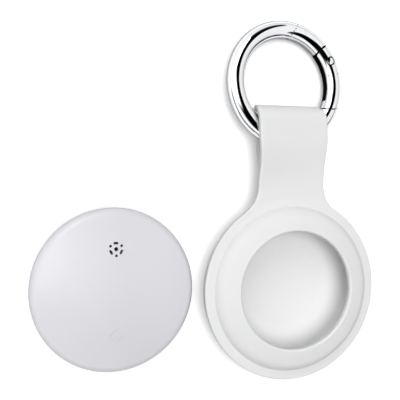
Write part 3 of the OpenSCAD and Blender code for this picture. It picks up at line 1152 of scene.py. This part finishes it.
class MakeRingGate(bpy.types.Operator):
    """Spring gate: a slotted piece of the same bar that turns inwards on its pin"""

    bl_idname = "object.ring_gate"
    bl_label = "Ring gate"

    def execute(self, context):
        s = context.scene.ring_settings
        place = ring_place()
        gate = to_object(bar(PIN_DEG - 62, PIN_DEG + 20, s.bar, s.radius), "gate_bar", place)
        upper = to_object(bar(PIN_DEG + 1, PIN_DEG + 38, 2.6, s.radius, 24), "upper_tool", place)
        carve(upper, to_object(pin_rod(s, SEAM_IN, 4, 96), "seam_tool", place))
        carve(gate, upper)
        lower = to_object(bar(PIN_DEG - 82, PIN_DEG - 32, 2.6, s.radius, 24), "lower_tool", place)
        carve(lower, to_object(pin_rod(s, TIP_IN, 4, 192), "tip_tool", place))
        carve(gate, lower)
        carve(gate, to_object(pin_rod(s, 1.5, 0.75), "eye_room", place))
        bm = bmesh.new()
        brick(bm, (s.radius - 3, 0, -0.75), (s.radius + 3, 6, 0.75))
        carve(gate, to_object(bm, "cheek_room", place @ Matrix.Rotation(math.radians(PIN_DEG), 4, "Z")))
        bm = bmesh.new()
        section = [
            (s.radius - 3, -0.75), (s.radius + 0.4, -0.75), (s.radius + 0.4, 0.75), (s.radius - 3, 0.75),
        ]
        spin_line(bm, section, 36, closed=True, angle=math.radians(46), start=math.radians(PIN_DEG - 46))
        carve(gate, to_object(bm, "channel_tool", place))
        carve(gate, to_object(pin_rod(s, PIN_ROOM, 4, 48), "pin_bore", place))
        finish_piece(gate, material("Polished ring"), sharp=30)
        pin = Vector((*pin_spot(s), 0))

        def is_cut(p):
            reach = (p - pin).xy.length
            seam = min(abs(reach - edge) for edge in (SEAM_IN, TIP_IN, PIN_ROOM)) < 0.03
            return seam or (abs(p.z) < 0.76 and math.hypot(p.xy.length - s.radius, p.z) < s.bar - 0.03)

        paint_shade_on_cuts(gate, is_cut)
        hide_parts("ring_gate")
        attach(gate, "gate")

        half = corner(0.0, -0.75, 2.5, 90, -16.5, 6) + [(0.76, 1.58), (0.76, 0.8), (0.5, 0.8)]
        line = half + [(r, -z) for r, z in reversed(half)]
        bm = bmesh.new()
        spin_line(bm, line, 48)
        pin_piece = to_object(bm, "pivot_pin", place @ Matrix.Translation((*pin_spot(s), 0)))
        finish_piece(pin_piece, material("Polished ring"), sharp=30)
        paint_shade_on_cuts(pin_piece, lambda p: abs((p - pin).xy.length - 0.76) < 0.02 and abs(p.z) < 1.56)
        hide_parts("gate_pin")
        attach(pin_piece, "gate")
        return {"FINISHED"}


# ---------------------------------------------------------------- the stage


def soft_sun(name, towards, spread, strength):
    """Even light from one side of the studio, as soft as a lamp of the given spread in degrees."""
    data = bpy.data.lights.new(name, "SUN")
    data.energy = strength
    data.angle = math.radians(spread)
    obj = bpy.data.objects.new(name, data)
    bpy.context.scene.collection.objects.link(obj)
    obj.rotation_euler = Vector(towards).to_track_quat("Z", "Y").to_euler()
    return obj


def ramp(nodes, links, value, low, high, falling=False):
    """Smooth mask that rises, or falls, from low to high."""
    node = nodes.new("ShaderNodeMapRange")
    node.interpolation_type = "SMOOTHSTEP"
    node.inputs["From Min"].default_value = low
    node.inputs["From Max"].default_value = high
    node.inputs["To Min"].default_value = 1.0 if falling else 0.0
    node.inputs["To Max"].default_value = 0.0 if falling else 1.0
    links.new(value, node.inputs["Value"])
    return node.outputs["Result"]


def maths(nodes, links, operation, *values):
    """One maths node on sockets and plain numbers."""
    node = nodes.new("ShaderNodeMath")
    node.operation = operation
    for socket, value in zip(node.inputs, values):
        if isinstance(value, float):
            socket.default_value = value
        else:
            links.new(value, socket)
    return node.outputs["Value"]


def studio_world(strength):
    """White studio with a black strip overhead and a dark line low down, which the metal mirrors."""
    world = bpy.data.worlds.new("Studio")
    world.use_nodes = True
    nodes, links = world.node_tree.nodes, world.node_tree.links

    def calc(operation, *values):
        return maths(nodes, links, operation, *values)

    def mask(*values):
        return ramp(nodes, links, *values)

    split = nodes.new("ShaderNodeSeparateXYZ")
    links.new(nodes.new("ShaderNodeTexCoord").outputs["Generated"], split.inputs["Vector"])
    x, y, z = (split.outputs[k] for k in "XYZ")
    high = calc("MAXIMUM", z, 0.05)
    u = calc("DIVIDE", x, high)
    v = calc("DIVIDE", y, high)
    bow = nodes.new("ShaderNodeMath")
    bow.operation = "ABSOLUTE"
    links.new(v, bow.inputs[0])
    across = calc("SUBTRACT", u, calc("MULTIPLY", bow.outputs["Value"], 0.45))
    strip = calc("MULTIPLY", mask(across, -1.5, -0.6), mask(across, 0.34, 0.44, True))
    length = calc("MULTIPLY", mask(v, -1.5, -1.0), mask(v, 1.2, 2.4, True))
    strip = calc("MULTIPLY", strip, length)
    low = calc("MULTIPLY", mask(z, -0.02, 0.02), mask(z, 0.16, 0.24, True))
    low = calc("MULTIPLY", low, mask(y, -0.2, 0.1, True))
    dark = calc("MAXIMUM", strip, low)
    path = nodes.new("ShaderNodeLightPath")
    slope = calc("SUBTRACT", 1.0, calc("MULTIPLY", x, 0.85))
    slope = calc("ADD", slope, calc("MULTIPLY", y, 0.3))
    slope = calc("MULTIPLY", slope, strength)
    white = calc("SUBTRACT", 1.155, calc("MULTIPLY", x, 0.275))
    grey = calc("ADD", 0.72, calc("MULTIPLY", mask(z, 0.05, 0.5), 0.28))
    studio = calc("MULTIPLY", white, grey)
    studio = calc("MULTIPLY", studio, calc("SUBTRACT", 1.0, dark))
    far_u = calc("ADD", u, 0.62)
    far_v = calc("SUBTRACT", v, 0.2)
    reach = calc("ADD", calc("MULTIPLY", far_u, far_u), calc("MULTIPLY", far_v, far_v))
    studio = calc("ADD", studio, calc("MULTIPLY", mask(reach, 0.0, 0.3, True), 2.8))
    for chosen, ray in ((studio, "Is Glossy Ray"), (1.1, "Is Camera Ray")):
        part = calc("MULTIPLY", path.outputs[ray], chosen)
        rest = calc("SUBTRACT", 1.0, path.outputs[ray])
        slope = calc("ADD", part, calc("MULTIPLY", slope, rest))
    back = nodes["Background"]
    back.inputs["Color"].default_value = (0.98, 0.985, 1.0, 1)
    links.new(slope, back.inputs["Strength"])
    return world


class MakeStage(bpy.types.Operator):
    """Pale floor, soft studio light and camera"""

    bl_idname = "object.tag_stage"
    bl_label = "Stage"

    def execute(self, context):
        scene = context.scene
        s = scene.stage_settings
        bm = bmesh.new()
        bmesh.ops.create_grid(bm, x_segments=8, y_segments=8, size=3000)
        floor = to_object(bm, "floor", Matrix.Translation((0, 0, -0.02)))
        mat, nodes, links, bsdf = new_material("Pale floor")
        patch = nodes.new("ShaderNodeTexNoise")
        patch.inputs["Scale"].default_value = 3.0
        links.new(object_vector(nodes), patch.inputs["Vector"])
        low = tuple(c * 0.99 for c in s.floor)
        # Painted shade and reflection: the floor is pale only to the camera and to long reflections.
        # Reflections that meet it within 2 to 11 mm turn towards dark grey, a painted dark reflection along
        # the ring's lower edges. Light bouncing off it is 80% of the way to dark grey, painted shade on the
        # undersides that face it.
        path = nodes.new("ShaderNodeLightPath")
        near = ramp(nodes, links, path.outputs["Ray Length"], 0.002, 0.011, True)
        near = maths(nodes, links, "MULTIPLY", near, path.outputs["Is Glossy Ray"])
        soft = maths(nodes, links, "MULTIPLY", path.outputs["Is Diffuse Ray"], 0.8)
        shade = nodes.new("ShaderNodeMix")
        shade.data_type = "RGBA"
        shade.inputs["B"].default_value = (0.25, 0.25, 0.26, 1)
        links.new(varied_colour(nodes, links, patch.outputs["Fac"], low, tuple(s.floor)), shade.inputs["A"])
        links.new(maths(nodes, links, "MAXIMUM", near, soft), shade.inputs["Factor"])
        links.new(shade.outputs["Result"], bsdf.inputs["Base Color"])
        bsdf.inputs["Roughness"].default_value = 0.85
        # The floor also glows a little for the camera alone: painted light that washes out the shadows on it.
        bsdf.inputs["Emission Color"].default_value = (1, 1, 1, 1)
        links.new(
            maths(nodes, links, "MULTIPLY", path.outputs["Is Camera Ray"], 0.16),
            bsdf.inputs["Emission Strength"],
        )
        floor.data.materials.append(mat)

        scene.world = studio_world(s.sky)
        soft_sun("Key", (-0.15, 0.365, 0.34), 36, s.key)
        top = soft_sun("Top", (-0.045, 0.01, 0.5), 37, s.top)
        top.visible_glossy = False

        data = bpy.data.cameras.new("Camera")
        data.lens = s.lens
        data.sensor_width = 36.0
        data.clip_start = 0.005
        camera = bpy.data.objects.new("Camera", data)
        scene.collection.objects.link(camera)
        turn = (
            Matrix.Rotation(math.radians(-18.39), 4, "Y")
            @ Matrix.Rotation(math.radians(-2.81), 4, "X")
            @ Matrix.Rotation(math.radians(0.06), 4, "Z")
        )
        camera.matrix_world = Matrix.Translation((-0.063983, 0.025542, 0.1382)) @ turn
        scene.camera = camera
        scene.view_settings.view_transform = "Standard"
        return {"FINISHED"}


# ---------------------------------------------------------------- add-on


class TagPanel(bpy.types.Panel):
    """Builds the tag, its holder and its ring"""

    bl_idname = "VIEW3D_PT_tag_and_holder"
    bl_label = "Tag and holder"
    bl_space_type = "VIEW_3D"
    bl_region_type = "UI"
    bl_category = "Tag"

    def draw(self, context):
        layout = self.layout
        scene = context.scene
        for group, operators in (
            (scene.tag_settings, (MakeTagFront, MakeTagRear, FinishInnerParts)),
            (scene.holder_settings, (MakeHolderFront, MakeHolderBack)),
            (scene.ring_settings, (MakeRingBar, MakeRingGate)),
            (scene.stage_settings, (MakeStage,)),
        ):
            box = layout.box()
            for name in group.__annotations__:
                box.prop(group, name)
            for operator in operators:
                box.operator(operator.bl_idname)


SETTINGS = (
    ("tag_settings", TagSettings),
    ("holder_settings", HolderSettings),
    ("ring_settings", RingSettings),
    ("stage_settings", StageSettings),
)
CLASSES = (
    TagSettings,
    HolderSettings,
    RingSettings,
    StageSettings,
    MakeTagFront,
    MakeTagRear,
    FinishInnerParts,
    MakeHolderFront,
    MakeHolderBack,
    MakeRingBar,
    MakeRingGate,
    MakeStage,
    TagPanel,
)


def register():
    for cls in CLASSES:
        bpy.utils.register_class(cls)
    for name, cls in SETTINGS:
        setattr(bpy.types.Scene, name, PointerProperty(type=cls))


def unregister():
    for name, _ in SETTINGS:
        delattr(bpy.types.Scene, name)
    for cls in reversed(CLASSES):
        bpy.utils.unregister_class(cls)


def main():
    register()
    bpy.ops.object.tag_stage()
    bpy.ops.object.tag_front()
    bpy.ops.object.tag_rear()
    bpy.ops.object.tag_inner_finish()
    bpy.ops.object.holder_front()
    bpy.ops.object.holder_back()
    bpy.ops.object.ring_bar()
    bpy.ops.object.ring_gate()


if __name__ == "__main__":
    main()
